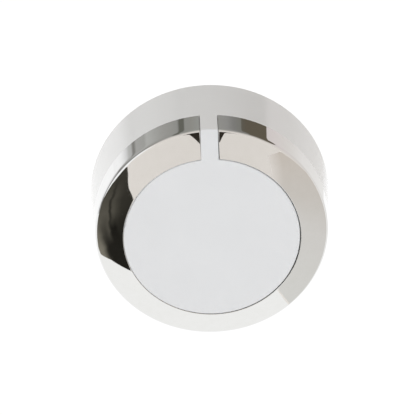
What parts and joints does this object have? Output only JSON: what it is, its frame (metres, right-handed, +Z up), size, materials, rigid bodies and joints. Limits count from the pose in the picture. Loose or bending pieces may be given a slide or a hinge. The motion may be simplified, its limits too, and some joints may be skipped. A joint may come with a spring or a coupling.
{
  "type": "pull cord ceiling switch",
  "caption": "Round pull cord ceiling switch: white cover with a flat disc, slotted chrome trim ring, slotted backplate, and a sprung ratchet mechanism inside.",
  "frame": {"origin": "centre of the backplate's ceiling face", "axes": "+Z up out of the ceiling face, +Y towards the cord outlet, the white bar of the cover towards -Y"},
  "size_m": [0.0904, 0.0904, 0.0361],
  "materials": {
    "white_cover": "smooth gloss moulding",
    "chrome_trim": "polished chrome plating",
    "white_base": "fine matt moulding",
    "white_bush": "smooth moulding",
    "grey_housing": "fine spark-eroded moulding",
    "nylon_drive": "natural nylon",
    "dark_cam": "dark acetal",
    "steel_pins": "drawn steel",
    "spring_steel": "drawn spring wire",
    "contact_brass": "rolled brass strip",
    "silver_tips": "silver contact face",
    "terminal_brass": "machined brass",
    "plated_screws": "zinc plated"
  },
  "bodies": {
    "switch_body": {"cover": "white_cover", "trim_ring": "chrome_trim", "backplate": "white_base", "cord_bush": "white_bush", "mech_housing": "grey_housing", "mech_lid": "grey_housing", "axle": "steel_pins", "return_spring": "spring_steel", "rocker_pin": "steel_pins", "fixed_contact": "contact_brass", "fixed_tip": "silver_tips", "line_bracket": "contact_brass", "line_terminal": "terminal_brass", "load_terminal": "terminal_brass", "earth_terminal": "terminal_brass", "terminal_screws": "plated_screws", "housing_screws": "plated_screws", "lid_screws": "plated_screws"},
    "pull_arm": {"pull_arm": "nylon_drive", "pawl_pin": "steel_pins"},
    "drive_pawl": {"pawl": "dark_cam", "pawl_spring": "spring_steel"},
    "ratchet": {"ratchet_wheel": "nylon_drive", "cam": "dark_cam"},
    "contact_rocker": {"rocker": "dark_cam", "moving_contact": "contact_brass", "moving_tip": "silver_tips", "rocker_spring": "spring_steel"}
  },
  "joints": [
    {"name": "arm_pull", "type": "hinge", "parent": "switch_body", "child": "pull_arm", "pos_m": [0, 0.006, -0.0165], "axis": [1, 0, 0], "range_deg": [0, 45], "stiffness_Nm_per_rad": 0.02, "springref_deg": -34.38, "deforming": ["return_spring"]},
    {"name": "pawl_lift", "type": "hinge", "parent": "pull_arm", "child": "drive_pawl", "pos_m": [0, 0.00447, -0.00783], "axis": [-1, 0, 0], "range_deg": [0, 24], "stiffness_Nm_per_rad": 0.0004, "springref_deg": -28.65},
    {"name": "ratchet_turn", "type": "hinge", "parent": "switch_body", "child": "ratchet", "pos_m": [0, 0.006, -0.0165], "axis": [1, 0, 0], "range_deg": [0, 45]},
    {"name": "rocker_swing", "type": "hinge", "parent": "switch_body", "child": "contact_rocker", "pos_m": [0, -0.0022, -0.0075], "axis": [-1, 0, 0], "range_deg": [0, 10]}
  ],
  "couplings": [
    {"joint": "ratchet_turn", "follows": "arm_pull", "ratio": 1},
    {"joint": "rocker_swing", "follows": "arm_pull", "ratio": 0.22222}
  ]
}
